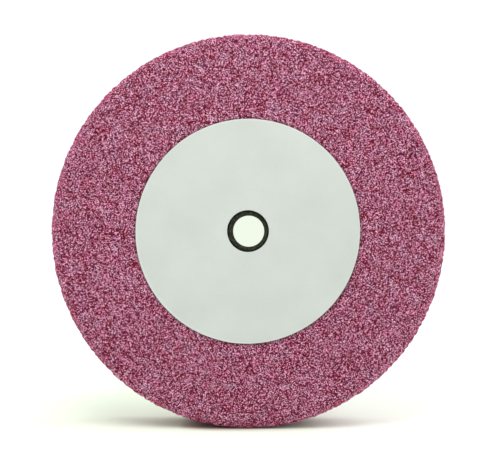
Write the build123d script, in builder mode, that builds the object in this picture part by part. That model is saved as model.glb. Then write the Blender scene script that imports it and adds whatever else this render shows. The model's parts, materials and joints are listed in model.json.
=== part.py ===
from build123d import *
import os

# Bench grinding wheel, straight (type 1) form, 6 in x 1 in x 5/8 in arbor,
# bushed down to a 1/2 in spindle.
#
# Frame: origin at the centre of the wheel (mid-width, on the arbor axis).
#   Y  arbor axis; the front (outboard, nut-side) face looks towards -Y
#   +Z up, the wheel stands on its rim at z = -wheel_diameter / 2
# Millimetres throughout.

os.makedirs("parts", exist_ok=True)

IN = 25.4

# ---- driving dimensions -------------------------------------------------
# vitrified abrasive wheel
wheel_diameter = 6.0 * IN          # 152.4
wheel_width = 1.0 * IN             # 25.4
rim_bevel = 2.2                    # 45 degree moulded bevel between each side and the rim
bevel_ease = 0.5                   # the bevel's own two corners are slightly rounded
arbor_diameter = 15.96             # nominal 5/8 in (15.875) arbor hole
arbor_chamfer = 0.3                # broken edge at each mouth of the arbor hole

# compressible paper blotters, one glued to each side
blotter_diameter = 86.4
blotter_thickness = 0.5
blotter_hole_diameter = 16.0

# plastic reducing bush, 5/8 in to 1/2 in
bush_outer_diameter = 15.88
bush_bore_diameter = 12.74         # takes a 1/2 in (12.70) spindle
bush_length = 24.4                 # ends sit a little below the wheel's sides
bush_outer_chamfer = 0.45          # lead-in, so that it starts squarely
bush_bore_chamfer = 0.25

side_y = wheel_width / 2           # 12.7, distance of each side from the centre

# ---- abrasive wheel -----------------------------------------------------
with BuildPart() as abrasive_wheel:
    with BuildSketch(Plane.XZ):
        Circle(wheel_diameter / 2)
        Circle(arbor_diameter / 2, mode=Mode.SUBTRACT)
    extrude(amount=side_y, both=True)
    rings = abrasive_wheel.edges().filter_by(GeomType.CIRCLE).group_by(SortBy.RADIUS)
    arbor_mouths, rim_corners = rings[0], rings[-1]
    chamfer(rim_corners, rim_bevel)
    bevel_corners = (
        abrasive_wheel.edges()
        .filter_by(GeomType.CIRCLE)
        .filter_by(lambda e: e.radius > wheel_diameter / 2 - rim_bevel - 0.01)
    )
    fillet(bevel_corners, bevel_ease)
    chamfer(arbor_mouths, arbor_chamfer)
abrasive_wheel.part.label = "abrasive_wheel"

# ---- front blotter (on the -Y side) --------------------------------------
with BuildPart() as front_blotter:
    with BuildSketch(Plane.XZ.offset(side_y)):
        Circle(blotter_diameter / 2)
        Circle(blotter_hole_diameter / 2, mode=Mode.SUBTRACT)
    extrude(amount=blotter_thickness)
front_blotter.part.label = "front_blotter"

# ---- back blotter (on the +Y side) ---------------------------------------
with BuildPart() as back_blotter:
    with BuildSketch(Plane.XZ.offset(-side_y)):
        Circle(blotter_diameter / 2)
        Circle(blotter_hole_diameter / 2, mode=Mode.SUBTRACT)
    extrude(amount=-blotter_thickness)
back_blotter.part.label = "back_blotter"

# ---- reducing bush --------------------------------------------------------
with BuildPart() as reducing_bush:
    with BuildSketch(Plane.XZ):
        Circle(bush_outer_diameter / 2)
    extrude(amount=bush_length / 2, both=True)
    outer_ends = reducing_bush.edges().filter_by(GeomType.CIRCLE)
    chamfer(outer_ends, bush_outer_chamfer)
    with BuildSketch(Plane.XZ):
        Circle(bush_bore_diameter / 2)
    extrude(amount=bush_length / 2, both=True, mode=Mode.SUBTRACT)
    bore_mouths = reducing_bush.edges().filter_by(GeomType.CIRCLE).group_by(SortBy.RADIUS)[0]
    chamfer(bore_mouths, bush_bore_chamfer)
reducing_bush.part.label = "reducing_bush"

# ---- write one file per piece ----------------------------------------------
for piece in (abrasive_wheel, front_blotter, back_blotter, reducing_bush):
    export_step(piece.part, f"parts/{piece.part.label}.step")
    box = piece.part.bounding_box()
    print(
        f"{piece.part.label:15s} volume {piece.part.volume:10.1f} mm3  "
        f"size {box.size.X:.2f} x {box.size.Y:.2f} x {box.size.Z:.2f}  "
        f"y {box.min.Y:.2f} to {box.max.Y:.2f}"
    )
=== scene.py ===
import json
import math

import bpy
import numpy as np
from mathutils import Matrix, Vector


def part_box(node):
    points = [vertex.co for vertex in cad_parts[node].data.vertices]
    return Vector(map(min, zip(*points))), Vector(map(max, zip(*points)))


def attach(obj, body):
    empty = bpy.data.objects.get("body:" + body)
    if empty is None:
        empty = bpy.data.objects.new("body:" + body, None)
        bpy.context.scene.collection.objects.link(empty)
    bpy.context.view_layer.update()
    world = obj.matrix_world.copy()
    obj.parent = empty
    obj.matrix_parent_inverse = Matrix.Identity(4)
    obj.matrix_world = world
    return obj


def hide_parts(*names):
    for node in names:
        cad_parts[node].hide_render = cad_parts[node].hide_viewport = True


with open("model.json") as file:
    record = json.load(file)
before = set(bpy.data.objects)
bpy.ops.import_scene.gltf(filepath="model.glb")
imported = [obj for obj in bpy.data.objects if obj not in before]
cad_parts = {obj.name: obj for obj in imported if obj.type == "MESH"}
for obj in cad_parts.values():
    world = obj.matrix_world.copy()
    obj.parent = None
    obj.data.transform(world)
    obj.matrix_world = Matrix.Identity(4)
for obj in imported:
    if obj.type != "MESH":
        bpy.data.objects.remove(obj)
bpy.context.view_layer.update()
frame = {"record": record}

MM = 0.001
scene = bpy.context.scene
scene.view_settings.view_transform = "Standard"
scene.view_settings.look = "None"
scene.view_settings.exposure = 0.0
scene.view_settings.gamma = 1.0

# ---------------------------------------------------------------- sizes, from the frame
w_lo, w_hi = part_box("abrasive_wheel")
f_lo, f_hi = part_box("front_blotter")
k_lo, k_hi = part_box("back_blotter")
b_lo, b_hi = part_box("reducing_bush")
WHEEL_R = (w_hi[0] - w_lo[0]) / 2
SIDE = (w_hi[1] - w_lo[1]) / 2              # half the wheel's width
BLOT_R = (f_hi[0] - f_lo[0]) / 2
BLOT_T = f_hi[1] - f_lo[1]
BUSH_R = (b_hi[0] - b_lo[0]) / 2
BUSH_HALF = (b_hi[1] - b_lo[1]) / 2
FLOOR_Z = w_lo[2]
mounts = {m["name"]: m for m in frame["record"]["mounts"]}
BORE_R = mounts["spindle_bore"]["dims"]["r_mm"] * MM   # the bush's bore
ARBOR_R = 7.98 * MM                         # the wheel's own hole
BLOT_HOLE_R = 8.0 * MM
BEVEL = 2.2 * MM                            # moulded bevel between side and rim


# ---------------------------------------------------------------- helpers
def mesh_object(name, verts, faces, smooth=False):
    """A mesh object from plain arrays. faces is an (n, 3) or (n, 4) array, or a list of tuples."""
    mesh = bpy.data.meshes.new(name)
    verts = np.asarray(verts, np.float32)
    if isinstance(faces, np.ndarray):
        n, k = faces.shape
        mesh.vertices.add(len(verts))
        mesh.vertices.foreach_set("co", verts.ravel())
        mesh.loops.add(n * k)
        mesh.loops.foreach_set("vertex_index", faces.astype(np.int32).ravel())
        mesh.polygons.add(n)
        mesh.polygons.foreach_set("loop_start", np.arange(0, n * k, k, dtype=np.int32))
        mesh.update(calc_edges=True)
    else:
        mesh.from_pydata(verts.tolist(), [], faces)
        mesh.update()
    mesh.validate()
    mesh.polygons.foreach_set("use_smooth", np.full(len(mesh.polygons), smooth))
    obj = bpy.data.objects.new(name, mesh)
    scene.collection.objects.link(obj)
    return obj


def noise1(count, rng, octaves=((3, 1.0), (7, 0.6), (17, 0.4), (41, 0.25))):
    """A smooth closed wobble round a circle, about -1 to 1."""
    t = np.arange(count) / count * 2 * math.pi
    out = np.zeros(count)
    for waves, size in octaves:
        for k in range(waves, waves * 2):
            out += size / waves**0.5 * rng.normal() * np.cos(k * t + rng.uniform(0, 2 * math.pi))
    return out / np.abs(out).max()


# ---------------------------------------------------------------- the abrasive wheel
def profile():
    """The wheel's section as (radius, y, normal radius, normal y, spacing) stations, once round from the front arbor mouth."""
    out = []
    fine, hidden = 0.72 * MM, 2.0 * MM
    cut = 0.3 * MM

    def run(r0, y0, r1, y1, nr, ny, step):
        length = math.hypot(r1 - r0, y1 - y0)
        n = max(1, round(length / (step * 0.866)))
        for i in range(n):
            t = i / n
            out.append((r0 + (r1 - r0) * t, y0 + (y1 - y0) * t, nr, ny, step))

    under = BLOT_R - 1.2 * MM
    for s in (-1, 1):                       # front half, then the back half in reverse
        half = []
        keep, out = out, []
        run(ARBOR_R, 0.0, ARBOR_R, s * (SIDE - cut), -1, 0, fine)
        run(ARBOR_R, s * (SIDE - cut), ARBOR_R + cut, s * SIDE, -0.7, 0.7 * s, fine)
        run(ARBOR_R + cut, s * SIDE, under, s * SIDE, 0, s, hidden)
        ease = 0.25 * MM
        run(under, s * SIDE, WHEEL_R - BEVEL - ease, s * SIDE, 0, s, fine)
        out.append((WHEEL_R - BEVEL - ease * 0.2, s * (SIDE - 0.03 * MM), 0.38, 0.92 * s, fine))
        run(WHEEL_R - BEVEL + ease * 0.9, s * (SIDE - ease), WHEEL_R - ease, s * (SIDE - BEVEL + ease * 0.9), 0.7, 0.7 * s, fine)
        out.append((WHEEL_R - 0.03 * MM, s * (SIDE - BEVEL - ease * 0.2), 0.92, 0.38 * s, fine))
        run(WHEEL_R, s * (SIDE - BEVEL - ease - 0.4 * MM), WHEEL_R, 0.0, 1, 0, fine)
        half, out = out, keep
        if s == -1:
            out.extend(half)
        else:
            mid = (WHEEL_R, 0.0, 1, 0, fine)
            out.append(mid)
            out.extend(reversed(half[1:]))   # back from the rim to the bore
    return out


CHIPS = [(1.3, 1.3, 0.2), (1.95, -0.9, 2.1), (3.1, 0.7, 4.0), (0.67, -1.7, 1.2), (2.6, 1.9, 5.1), (4.2, -1.1, 0.7)]


def abrasive_mesh():
    rng = np.random.default_rng(61)
    stations = profile()
    rings, verts, count = [], [], 0
    for i, (r, y, nr, ny, step) in enumerate(stations):
        n = max(24, round(2 * math.pi * r / step))
        theta = (np.arange(n) + rng.uniform(0, 1)) / n * 2 * math.pi
        theta = theta + rng.uniform(-0.34, 0.34, n) * (2 * math.pi / n)
        along = rng.uniform(-0.30, 0.30, n) * step * 0.866     # jitter along the section
        # relief: every grain sits a little below the trued surface, and some have been plucked out
        depth = rng.uniform(0.0, 0.16, n) * MM
        plucked = rng.uniform(size=n) < 0.13
        depth = np.where(plucked, rng.uniform(0.18, 0.42, n) * MM, depth)
        if nr > 0.3 and step < 1 * MM:       # the rim is rougher, and its corners have chips a few grains wide
            near = min(1.0, max(0.0, 1 - (SIDE - BEVEL - abs(y)) / (1.8 * MM)))
            a = theta * WHEEL_R / MM
            chip = sum(np.sin(a * k + y * 450 * q + p) for k, q, p in CHIPS) / len(CHIPS) ** 0.5
            depth = depth * 1.2 + near * (np.clip(chip + 0.1, 0, 1.5) * 0.50 + 0.02) * MM
        if step > 1 * MM:
            depth = depth * 0 + 0.05 * MM
            along *= 0.5
        corner = 0 < abs(nr) < 1 or (i and abs(stations[i - 1][2]) != abs(nr))
        if corner:
            along *= 0.4
        rr = r + along * abs(ny) - depth * nr
        yy = y + along * abs(nr) - depth * ny
        verts.append(np.stack([rr * np.cos(theta), yy, rr * np.sin(theta)], 1))
        rings.append((count, theta))
        count += n
    verts = np.concatenate(verts)
    faces = []
    total = len(rings)
    for i in range(total):
        a0, ta = rings[i]
        b0, tb = rings[(i + 1) % total]
        na, nb = len(ta), len(tb)
        # start b at the point nearest in angle to a's first
        shift = int(np.argmin(np.abs(np.angle(np.exp(1j * (tb - ta[0]))))))
        tb2 = np.unwrap(np.roll(tb, -shift))
        tb2 = tb2 + 2 * math.pi * round((ta[0] - tb2[0]) / (2 * math.pi))
        ta2 = np.append(ta, ta[0] + 2 * math.pi)
        tb2 = np.append(tb2, tb2[0] + 2 * math.pi)
        ia = ib = 0
        la, lb = ta2.tolist(), tb2.tolist()
        while ia < na or ib < nb:
            if ib >= nb or (ia < na and la[ia + 1] <= lb[ib + 1]):
                faces.append((a0 + ia % na, a0 + (ia + 1) % na, b0 + (ib + shift) % nb))
                ia += 1
            else:
                faces.append((a0 + ia % na, b0 + (ib + 1 + shift) % nb, b0 + (ib + shift) % nb))
                ib += 1
    return verts, np.array(faces)


def outward(verts, faces):
    """The same faces, turned so that the closed mesh's normals point out."""
    a, b, c = (verts[faces[:, i]].astype(float) for i in range(3))
    volume = np.einsum("ij,ij->i", a, np.cross(b, c)).sum() / 6
    return faces if volume > 0 else faces[:, ::-1].copy()


def revolve(name, section, segments, bend=None, smooth=True):
    """A closed ring mesh from a closed section of (radius, y) points. bend(points, ring index, angles) may move the points."""
    t = np.arange(segments) / segments * 2 * math.pi
    n = len(section)
    verts = np.zeros((n, segments, 3))
    for i, (r, y) in enumerate(section):
        p = np.stack([r * np.cos(t), np.full(segments, y), r * np.sin(t)], 1)
        verts[i] = bend(p, i, t) if bend else p
    i, j = np.meshgrid(np.arange(n), np.arange(segments), indexing="ij")
    i2, j2 = (i + 1) % n, (j + 1) % segments
    quads = np.stack([i * segments + j, i2 * segments + j, i2 * segments + j2, i * segments + j2], -1).reshape(-1, 4)
    v = verts.reshape(-1, 3)
    a, b, c = v[quads[:, 0]], v[quads[:, 1]], v[quads[:, 2]]
    d = v[quads[:, 3]]
    volume = np.einsum("ij,ij->i", a, np.cross(b, c)).sum() + np.einsum("ij,ij->i", a, np.cross(c, d)).sum()
    return mesh_object(name, v, quads if volume > 0 else quads[:, ::-1].copy(), smooth)


class Nodes:
    """A short way to write a node tree."""

    def __init__(self, tree):
        self.tree = tree
        tree.nodes.clear()

    def add(self, kind, inputs=None, **props):
        n = self.tree.nodes.new(kind)
        for k, v in props.items():
            setattr(n, k, v)
        for k, v in (inputs or {}).items():
            socket = n.inputs[k]
            if isinstance(v, bpy.types.NodeSocket):
                self.tree.links.new(v, socket)
            else:
                socket.default_value = v
        return n

    def math(self, op, a, b=0.5, c=None, clamp=False):
        n = self.tree.nodes.new("ShaderNodeMath")
        n.operation, n.use_clamp = op, clamp
        for i, v in enumerate((a, b, c)):
            if v is None:
                continue
            if isinstance(v, bpy.types.NodeSocket):
                self.tree.links.new(v, n.inputs[i])
            else:
                n.inputs[i].default_value = v
        return n.outputs[0]

    def vec(self, op, a, b=None, out=0):
        n = self.tree.nodes.new("ShaderNodeVectorMath")
        n.operation = op
        for i, v in enumerate((a, b)):
            if v is None:
                continue
            if isinstance(v, bpy.types.NodeSocket):
                self.tree.links.new(v, n.inputs[i])
            else:
                n.inputs[i].default_value = v
        return n.outputs[out]

    def ramp(self, fac, stops, mode="LINEAR"):
        n = self.tree.nodes.new("ShaderNodeValToRGB")
        n.color_ramp.interpolation = mode
        e = n.color_ramp.elements
        while len(e) < len(stops):
            e.new(0.5)
        for el, (at, col) in zip(e, stops):
            el.position = at
            el.color = (*[lin(c) for c in col], 1)
        self.tree.links.new(fac, n.inputs[0])
        return n.outputs[0]


def lin(c):
    """An 8-bit screen value as linear light."""
    c = max(c, 0) / 255
    return c / 12.92 if c <= 0.04045 else ((c + 0.055) / 1.055) ** 2.4


def srgb(x):
    """Linear light as an 8-bit screen value."""
    x = max(x, 0)
    return 255 * (x * 12.92 if x <= 0.0031308 else 1.055 * x ** (1 / 2.4) - 0.055)


def material(name):
    m = bpy.data.materials.new(name)
    m.use_nodes = True
    return m, Nodes(m.node_tree)


def finish_material(g, colour, roughness, normal=None, **sockets):
    p = g.add("ShaderNodeBsdfPrincipled", {"Base Color": colour, "Roughness": roughness})
    for k, v in sockets.items():
        p.inputs[k.replace("_", " ")].default_value = v
    if normal is not None:
        g.tree.links.new(normal, p.inputs["Normal"])
    o = g.add("ShaderNodeOutputMaterial")
    g.tree.links.new(p.outputs[0], o.inputs[0])
    return p


# ---------------------------------------------------------------- materials
def abrasive_material():
    m, g = material("vitrified_ruby_alumina")
    at = g.add("ShaderNodeTexCoord").outputs["Object"]
    grain = g.add("ShaderNodeTexVoronoi", {"Vector": at, "Scale": 1 / 0.00032, "Randomness": 1.0}, feature="F1")
    small = g.add("ShaderNodeTexVoronoi", {"Vector": g.vec("ADD", at, (0.013, 0.007, 0.003)), "Scale": 1 / 0.00022, "Randomness": 1.0}, feature="F1")
    c1 = g.add("ShaderNodeSeparateColor", {"Color": grain.outputs["Color"]})
    c2 = g.add("ShaderNodeSeparateColor", {"Color": small.outputs["Color"]})
    cloud = g.add("ShaderNodeTexNoise", {"Vector": at, "Scale": 45.0, "Detail": 3.0}).outputs["Fac"]
    patch = g.add("ShaderNodeTexNoise", {"Vector": at, "Scale": 245.0, "Detail": 0.0}).outputs["Fac"]
    t = g.math("MULTIPLY_ADD", g.math("SUBTRACT", c1.outputs[0], 0.5), GRAIN, CENTRE)
    t = g.math("MULTIPLY_ADD", g.math("SUBTRACT", c2.outputs[0], 0.5), SMALL, t)
    t = g.math("MULTIPLY_ADD", g.math("SUBTRACT", cloud, 0.5), 0.10, t, clamp=True)
    light = g.ramp(t, TONES)
    # painted glints and painted shade: a few grains are painted almost white as glints, and a few are painted almost
    # black as the shade inside open pores
    painted_glint_big = g.add("ShaderNodeMapRange", {"Value": c1.outputs[1], "From Min": 0.940, "From Max": 0.950, "To Min": 0.0, "To Max": 0.8}).outputs[0]
    painted_pore_shade_big = g.add("ShaderNodeMapRange", {"Value": c1.outputs[1], "From Min": 0.070, "From Max": 0.080, "To Min": 0.8, "To Max": 0.0}).outputs[0]
    painted_glint_small = g.add("ShaderNodeMapRange", {"Value": c2.outputs[1], "From Min": 0.945, "From Max": 0.955, "To Min": 0.0, "To Max": 0.9}).outputs[0]
    painted_pore_shade_small = g.add("ShaderNodeMapRange", {"Value": c2.outputs[1], "From Min": 0.090, "From Max": 0.100, "To Min": 0.9, "To Max": 0.0}).outputs[0]
    # the painted glints and painted pore shade go into the grain colour here
    for share, tone in ((painted_glint_big, 0.86), (painted_pore_shade_big, 0.03), (painted_glint_small, 0.90), (painted_pore_shade_small, 0.02)):
        blend = g.add("ShaderNodeMix", {0: share, 6: light}, data_type="RGBA")
        blend.inputs[7].default_value = (tone, tone, tone, 1)
        light = blend.outputs[2]
    # pale or dark, every grain is the same raspberry, which leans crimson or grey in patches a few millimetres across
    lean = g.math("MULTIPLY", g.math("SUBTRACT", patch, 0.5), LEAN)
    hue = g.vec("MULTIPLY_ADD", lean)
    hue.node.inputs[1].default_value = CRIMSON
    hue.node.inputs[2].default_value = RASPBERRY
    depth = g.add("ShaderNodeMapRange", {"Value": light, "From Min": 0.0, "From Max": 0.8, "To Min": 1.86, "To Max": 0.68}).outputs[0]
    hue = g.vec("SCALE", hue)
    g.tree.links.new(depth, hue.node.inputs["Scale"])
    shade = g.vec("MAXIMUM", g.vec("ADD", light, hue), (0.0, 0.0, 0.0))
    shade = g.vec("SCALE", g.vec("ADD", shade, (0.055, 0.055, 0.055)))
    shade.node.inputs["Scale"].default_value = 1 / 1.055
    colour = g.add("ShaderNodeGamma", {"Color": shade, "Gamma": 2.4}).outputs[0]
    # the trued bevel and rim are a little redder than the sides, their own trued colour, and are also painted a little
    # brighter as painted edge light, where the bevel catches the light
    away = g.vec("LENGTH", g.vec("MULTIPLY", at, (1, 0, 1)), out=1)
    rim_tint_and_edge_light_mask = g.add("ShaderNodeMapRange", {"Value": away, "From Min": WHEEL_R - BEVEL - 0.3 * MM, "From Max": WHEEL_R - BEVEL + 0.5 * MM, "To Min": 0.0, "To Max": 1.0}, interpolation_type="SMOOTHSTEP").outputs[0]
    across = g.math("ABSOLUTE", g.add("ShaderNodeSeparateXYZ", {"Vector": at}).outputs[1], None)
    corner = g.add("ShaderNodeMapRange", {"Value": across, "From Min": SIDE - BEVEL - 1.2 * MM, "From Max": SIDE - BEVEL, "To Min": 0.25, "To Max": 1.0}, interpolation_type="SMOOTHSTEP").outputs[0]
    rim_tint_and_edge_light_mask = g.math("MULTIPLY", rim_tint_and_edge_light_mask, corner)
    tone_and_painted_rim_light = g.vec("MULTIPLY_ADD", rim_tint_and_edge_light_mask)
    n = tone_and_painted_rim_light.node
    g.tree.links.new(rim_tint_and_edge_light_mask, n.inputs[0])
    n.inputs[1].default_value = (0.26, 0.10, 0.20)
    n.inputs[2].default_value = (0.912, 0.855, 0.908)
    colour = g.vec("MULTIPLY", colour, tone_and_painted_rim_light)
    # painted shade: the grains right beside the blotter are painted darker where the blotter's edge shades them, most
    # of all under its lower edge, where its shadow falls
    blotter_edge_painted_shade = g.add("ShaderNodeMapRange", {"Value": away, "From Min": BLOT_R - 0.2 * MM, "From Max": BLOT_R + 1.5 * MM, "To Min": 1.0, "To Max": 0.0}, interpolation_type="SMOOTHSTEP").outputs[0]
    height = g.add("ShaderNodeSeparateXYZ", {"Vector": at}).outputs[2]
    painted_shadow_below_blotter = g.add("ShaderNodeMapRange", {"Value": height, "From Min": -BLOT_R, "From Max": BLOT_R, "To Min": -0.48, "To Max": -0.24}).outputs[0]
    colour = g.vec("SCALE", colour)
    g.tree.links.new(g.math("MULTIPLY_ADD", blotter_edge_painted_shade, painted_shadow_below_blotter, 1.0), colour.node.inputs["Scale"])
    # each grain is a flat fracture facet, tilted its own way
    tilt = g.vec("SUBTRACT", grain.outputs["Color"], (0.5, 0.5, 0.5))
    inside = g.vec("SUBTRACT", at, grain.outputs["Position"])
    h1 = g.vec("DOT_PRODUCT", inside, tilt, out=1)
    tilt2 = g.vec("SUBTRACT", small.outputs["Color"], (0.5, 0.5, 0.5))
    inside2 = g.vec("SUBTRACT", g.vec("ADD", at, (0.013, 0.007, 0.003)), small.outputs["Position"])
    h2 = g.vec("DOT_PRODUCT", inside2, tilt2, out=1)
    height = g.math("ADD", g.math("MULTIPLY", h1, 0.7), g.math("MULTIPLY", h2, 0.5))
    bump = g.add("ShaderNodeBump", {"Height": height, "Strength": 1.0, "Distance": 1.0}).outputs[0]
    rough = g.math("MULTIPLY_ADD", c1.outputs[2], 0.45, 0.35)
    finish_material(g, colour, rough, bump, Specular_IOR_Level=0.15)
    return m


def blotter_material(name, seed):
    m, g = material(name)
    at = g.add("ShaderNodeTexCoord").outputs["Object"]
    at0 = at
    at = g.vec("ADD", at, (seed * 0.31, seed * 0.17, seed * 0.23))
    cloud = g.add("ShaderNodeTexNoise", {"Vector": at, "Scale": 55.0, "Detail": 3.0}).outputs["Fac"]
    fine = g.add("ShaderNodeTexNoise", {"Vector": at, "Scale": 2600.0, "Detail": 2.0}).outputs["Fac"]
    fibre_a = g.add("ShaderNodeTexNoise", {"Vector": g.add("ShaderNodeMapping", {"Vector": at, "Rotation": (0, 0.5, 0), "Scale": (1, 1, 7)}).outputs[0], "Scale": 900.0, "Detail": 2.0, "Distortion": 0.6}).outputs["Fac"]
    fibre_b = g.add("ShaderNodeTexNoise", {"Vector": g.add("ShaderNodeMapping", {"Vector": at, "Rotation": (0, -0.9, 0), "Scale": (6, 1, 1)}).outputs[0], "Scale": 900.0, "Detail": 2.0, "Distortion": 0.6}).outputs["Fac"]
    t = g.math("MULTIPLY_ADD", g.math("SUBTRACT", cloud, 0.5), 0.9, 0.5)
    t = g.math("MULTIPLY_ADD", g.math("SUBTRACT", fibre_a, 0.5), 0.35, t)
    t = g.math("MULTIPLY_ADD", g.math("SUBTRACT", fibre_b, 0.5), 0.35, t)
    t = g.math("MULTIPLY_ADD", g.math("SUBTRACT", fine, 0.5), 0.3, t, clamp=True)
    colour = g.ramp(t, PAPER)
    # the die-cut edges are a little whiter, where the fibres are raised
    away = g.vec("LENGTH", g.vec("MULTIPLY", at0, (1, 0, 1)), out=1)
    cut = g.add("ShaderNodeMapRange", {"Value": away, "From Min": BLOT_R - 0.95 * MM, "From Max": BLOT_R - 0.35 * MM, "To Min": 1.0, "To Max": 1.09}, interpolation_type="SMOOTHSTEP").outputs[0]
    colour = g.vec("SCALE", colour)
    g.tree.links.new(cut, colour.node.inputs["Scale"])
    height = g.math("ADD", g.math("MULTIPLY", fibre_a, 0.5), g.math("ADD", g.math("MULTIPLY", fibre_b, 0.5), g.math("MULTIPLY", fine, 0.6)))
    bump = g.add("ShaderNodeBump", {"Height": height, "Strength": 0.35, "Distance": 0.00005}).outputs[0]
    rough = g.math("MULTIPLY_ADD", fibre_a, 0.15, 0.72)
    finish_material(g, colour, rough, bump, Specular_IOR_Level=0.35)
    return m


def bush_material():
    m, g = material("moulded_black_plastic")
    at = g.add("ShaderNodeTexCoord").outputs["Object"]
    speck = g.add("ShaderNodeTexNoise", {"Vector": at, "Scale": 1250.0, "Detail": 4.0, "Roughness": 0.7}).outputs["Fac"]
    scuff = g.add("ShaderNodeTexNoise", {"Vector": g.add("ShaderNodeMapping", {"Vector": at, "Scale": (1, 0.12, 1)}).outputs[0], "Scale": 1800.0, "Detail": 2.0}).outputs["Fac"]
    t = g.math("MULTIPLY_ADD", g.math("SUBTRACT", speck, 0.5), 1.8, 0.44)
    t = g.math("MULTIPLY_ADD", g.math("SUBTRACT", scuff, 0.5), 0.7, t, clamp=True)
    colour = g.ramp(t, PLASTIC)
    height = g.math("ADD", g.math("MULTIPLY", speck, 0.8), g.math("MULTIPLY", scuff, 0.6))
    bump = g.add("ShaderNodeBump", {"Height": height, "Strength": 0.5, "Distance": 0.00006}).outputs[0]
    rough = g.math("MULTIPLY_ADD", speck, 0.25, 0.72)
    finish_material(g, colour, rough, bump, Specular_IOR_Level=0.12)
    return m


CENTRE, GRAIN, SMALL = 0.105, 2.7, 0.9
# grain lightness on the screen scale, from a dark pore to a white glint of bond
TONES = [
    (t, (srgb(u), srgb(u), srgb(u + b)))
    for t, u, b in (
        (0.0, 0.012, 0.062), (0.25, 0.024, 0.060), (0.42, 0.064, 0.055), (0.56, 0.210, 0.038),
        (0.70, 0.385, 0.020), (0.85, 0.608, 0.000), (1.0, 0.795, -0.008),
    )
]
RASPBERRY, CRIMSON, LEAN = (0.199, -0.117, 0.025), (0.0, -0.043, -0.022), 7.4
PAPER = [(0.0, (172, 178, 172)), (0.5, (181, 187, 181)), (1.0, (190, 196, 190))]
PLASTIC = [(0.0, (14, 17, 11)), (0.5, (38, 43, 32)), (1.0, (82, 88, 74))]

# ---------------------------------------------------------------- pieces
av, af = abrasive_mesh()
wheel = mesh_object("abrasive_wheel_body", av, outward(av, af))
wheel.data.materials.append(abrasive_material())
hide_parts("abrasive_wheel")
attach(wheel, "wheel")
print("abrasive triangles", len(wheel.data.polygons))


def blotter(name, side, seed):
    """A die-cut paper disc, a trifle out of round and off centre, with a soft cut edge."""
    rng = np.random.default_rng(seed)
    seg = 288
    edge_out = noise1(seg, rng) * 0.05 * MM
    edge_in = noise1(seg, rng) * 0.03 * MM
    lean = rng.uniform(-0.10, 0.10, 2) * MM
    if side < 0:
        lean = np.array([-0.10, -0.06]) * MM
    r0, r1 = BLOT_HOLE_R + 0.02 * MM, BLOT_R - 0.14 * MM
    y_in, y_out = SIDE - 0.02 * MM, SIDE + BLOT_T
    section = []
    rad = [0, 0.05, 0.16, 0.35, 0.8, 1.6, 3, 5, 8, 11, 14, 17, 20, 23, 26, 28.5, 31, 32.6, 33.6, 34.2, 34.55, 34.74, 34.85]
    span = (r1 - r0) / MM
    rad = [x * span / rad[-1] for x in rad]
    drop = lambda x: 0.10 * math.exp(-x / 0.10) + 0.012 * math.exp(-x / 0.9)
    wave = [rng.uniform(0, 2 * math.pi, 3) for _ in range(6)]
    for x in rad:
        section.append((r0 + x * MM, y_out - (drop(x) + drop(span - x)) * MM))
    section += [(r1 + 0.02 * MM, y_out - 0.22 * MM), (r1, y_in + 0.02 * MM)]
    for x in (rad[-4], rad[-9], rad[10], rad[4]):
        section.append((r0 + x * MM, y_in))
    section += [(r0, y_in + 0.02 * MM), (r0 - 0.01 * MM, y_out - 0.22 * MM)]
    section = [(r, side * y) for r, y in section]
    n_top = len(rad)

    def bend(p, i, t):
        r = np.hypot(p[:, 0], p[:, 2])
        share = (r - r0) / (r1 - r0)
        squeeze = 1 + 0.0033 * np.cos(2 * (t - 0.87)) * share
        rr = r * squeeze + edge_out * share**6 + edge_in * (1 - share) ** 12
        q = p.copy()
        q[:, 0], q[:, 2] = rr * np.cos(t) + lean[0] * share, rr * np.sin(t) + lean[1] * share
        if 1 <= i < n_top - 1:
            w = 0
            for k, (a, b, c) in enumerate(wave):
                w = w + np.cos((k + 2) * t + a + share * (6 + 3 * k) * math.cos(b)) * math.cos(c)
            q[:, 1] -= side * (0.012 + 0.010 * w / 3) * MM
        return q

    o = revolve(name, section, seg, bend)
    o.data.materials.append(blotter_material(name + "_paper", seed))
    return o


front = blotter("front_blotter_paper", -1, 5)
back = blotter("back_blotter_paper", 1, 8)
for piece, node in ((front, "front_blotter"), (back, "back_blotter")):
    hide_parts(node)
    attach(piece, "wheel")


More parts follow.
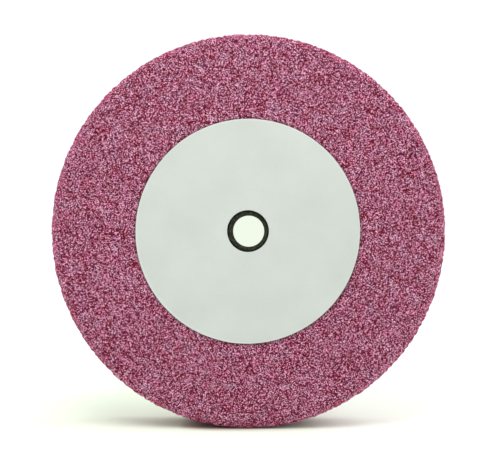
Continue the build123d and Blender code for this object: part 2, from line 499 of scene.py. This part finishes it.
def bush():
    """The moulded plastic reducing bush: eased chamfers, a faint moulding ring on each end and a witness line."""
    c_out, c_in = 0.45 * MM, 0.25 * MM
    e = 0.05 * MM
    half = []                                  # from mid-bore, round one end, to mid-outside
    for y in np.linspace(0, BUSH_HALF - c_in - e, 9):
        half.append((BORE_R, y))
    half += [(BORE_R + 0.02 * MM, BUSH_HALF - c_in), (BORE_R + c_in - 0.02 * MM, BUSH_HALF - 0.02 * MM), (BORE_R + c_in + e, BUSH_HALF)]
    r_a, r_b = BORE_R + c_in + e, BUSH_R - c_out - e
    for s, d in ((0.18, 0), (0.26, 0.02), (0.34, 0.02), (0.42, 0), (0.70, 0), (0.76, 0.012), (0.82, 0)):
        half.append((r_a + (r_b - r_a) * s, BUSH_HALF - d * MM))
    half += [(r_b, BUSH_HALF), (r_b + e + 0.03 * MM, BUSH_HALF - 0.04 * MM), (BUSH_R - 0.04 * MM, BUSH_HALF - c_out + 0.02 * MM), (BUSH_R, BUSH_HALF - c_out - e)]
    for y in np.linspace(BUSH_HALF - c_out - e, 0, 10)[1:]:
        half.append((BUSH_R, y))
    section = half + [(r, -y) for r, y in reversed(half[:-1])][:-1]
    rng = np.random.default_rng(12)
    seg = 224
    line = np.exp(-((np.arange(seg) / seg * 2 - 0.66) * 60) ** 2) + np.exp(-((np.arange(seg) / seg * 2 - 1.66) * 60) ** 2)

    def bend(p, i, t):
        r = np.hypot(p[:, 0], p[:, 2])
        q = p.copy()
        if r[0] > BUSH_R - 0.01 * MM:
            r2 = r - line * 0.025 * MM
            q[:, 0], q[:, 2] = r2 * np.cos(t), r2 * np.sin(t)
        return q

    o = revolve("reducing_bush_ring", section, seg, bend)
    o.data.materials.append(bush_material())
    return o


ring = bush()
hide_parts("reducing_bush")
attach(ring, "bush")

# ---------------------------------------------------------------- floor, light, camera
floor = revolve("studio_floor", [(0.0005, FLOOR_Z), (0.5, FLOOR_Z), (3.0, FLOOR_Z), (3.0, FLOOR_Z - 0.02), (0.5, FLOOR_Z - 0.02), (0.0005, FLOOR_Z - 0.02)], 64, smooth=False)
floor.data.transform(Matrix(((1, 0, 0, 0), (0, 0, 1, 0), (0, 1, 0, 0), (0, 0, 0, 1))))
fm, g = material("studio_floor_white")
at = g.add("ShaderNodeTexCoord").outputs["Object"]
far = g.vec("LENGTH", at, out=1)
painted_shade_fade_far = g.add("ShaderNodeMapRange", {"Value": far, "From Min": 0.08, "From Max": 0.30, "To Min": 0.0, "To Max": 1.0}, interpolation_type="SMOOTHSTEP").outputs[0]
# bare white sheet in front; under and behind the wheel, where its shadow falls, the sheet is painted a trace darker and
# greener as painted shade, fading away with distance and towards the right
place = g.add("ShaderNodeSeparateXYZ", {"Vector": at})
# front marks the bare sheet in front of the wheel, kept clear of the painted shade
front = g.add("ShaderNodeMapRange", {"Value": place.outputs[1], "From Min": -0.030, "From Max": -0.008, "To Min": 1.0, "To Max": 0.0}, interpolation_type="SMOOTHSTEP").outputs[0]
painted_shade_fade_right = g.add("ShaderNodeMapRange", {"Value": place.outputs[0], "From Min": 0.005, "From Max": 0.045, "To Min": 0.0, "To Max": 0.6}, interpolation_type="SMOOTHSTEP").outputs[0]
sheet_with_painted_shade = g.ramp(g.math("MAXIMUM", g.math("MAXIMUM", painted_shade_fade_far, front), painted_shade_fade_right), [(0.0, (240, 251, 232)), (1.0, (252, 254, 251))])
# painted shade: the crevice where the wheel meets the sheet is painted darker by ambient occlusion, darkest on its left
painted_crevice_shade = g.math("SUBTRACT", 1.0, g.add("ShaderNodeAmbientOcclusion", {"Distance": 0.0048}).outputs["AO"])
painted_crevice_strength = g.add("ShaderNodeMapRange", {"Value": place.outputs[0], "From Min": -0.018, "From Max": 0.016, "To Min": -0.90, "To Max": -0.15}, interpolation_type="SMOOTHSTEP").outputs[0]
painted_crevice_factor = g.vec("MULTIPLY_ADD", g.math("MULTIPLY", painted_crevice_shade, painted_crevice_strength))
painted_crevice_factor.node.inputs[1].default_value = (0.78, 1.0, 1.0)
painted_crevice_factor.node.inputs[2].default_value = (1.0, 1.0, 1.0)
sheet_with_painted_shade = g.vec("MULTIPLY", sheet_with_painted_shade, painted_crevice_factor)
finish_material(g, sheet_with_painted_shade, 0.9, None, Specular_IOR_Level=0.1)
floor.data.materials.append(fm)

world = bpy.data.worlds.new("studio")
scene.world = world
world.use_nodes = True
g = Nodes(world.node_tree)
bg = g.add("ShaderNodeBackground", {"Color": (1, 1, 1, 1), "Strength": 1.0})
# straight behind the wheel the backdrop is a touch greener and darker, as in a wheel's own soft shade
look = g.add("ShaderNodeTexCoord").outputs["Generated"]
off = g.math("SUBTRACT", 1.0, g.vec("DOT_PRODUCT", look, (0, 1, 0), out=1))
shade = g.add("ShaderNodeMapRange", {"Value": off, "From Min": 0.0005, "From Max": 0.018, "To Min": 0.0, "To Max": 1.0}, interpolation_type="SMOOTHSTEP").outputs[0]
sky = g.add("ShaderNodeMix", {0: shade}, data_type="RGBA")
sky.inputs[6].default_value = (lin(242), lin(251), lin(234), 1)
sky.inputs[7].default_value = (1.05, 1.05, 1.05, 1)
white = g.add("ShaderNodeBackground", {"Color": sky.outputs[2], "Strength": 1.0})
path = g.add("ShaderNodeLightPath")
mixer = g.add("ShaderNodeMixShader")
g.tree.links.new(path.outputs["Is Camera Ray"], mixer.inputs[0])
g.tree.links.new(bg.outputs[0], mixer.inputs[1])
g.tree.links.new(white.outputs[0], mixer.inputs[2])
g.tree.links.new(mixer.outputs[0], g.add("ShaderNodeOutputWorld").inputs[0])


def area(name, at, aim, size, power, colour=(1, 1, 1)):
    light = bpy.data.lights.new(name, "AREA")
    light.shape, light.size, light.size_y = "RECTANGLE", size[0], size[1]
    light.energy, light.color = power, colour
    o = bpy.data.objects.new(name, light)
    scene.collection.objects.link(o)
    o.location = at
    o.rotation_euler = (Vector(aim) - Vector(at)).to_track_quat("-Z", "Y").to_euler()
    return o


def sun(name, towards, strength, angle, colour=(1, 1, 1)):
    """A very soft distant light. towards points from the object to the light."""
    light = bpy.data.lights.new(name, "SUN")
    light.energy, light.angle, light.color = strength, math.radians(angle), colour
    o = bpy.data.objects.new(name, light)
    scene.collection.objects.link(o)
    o.rotation_euler = Vector(towards).to_track_quat("Z", "Y").to_euler()
    return o


sun("side_bank", (1.0, -0.06, 0.85), 1.05, 50)
area("fill_softbox", (-0.04, -0.20, 0.31), (0, 0, 0.03), (0.20, 0.20), 0.61)

cam = bpy.data.cameras.new("camera")
cam.lens, cam.sensor_width, cam.clip_start, cam.clip_end = 64.76, 36.0, 0.02, 50
camera = bpy.data.objects.new("camera", cam)
scene.collection.objects.link(camera)
camera.location = (0.0040, -(SIDE + 0.345), -0.0003)
camera.rotation_euler = (math.radians(90) - 0.00120, 0, 0.00935)
scene.camera = camera
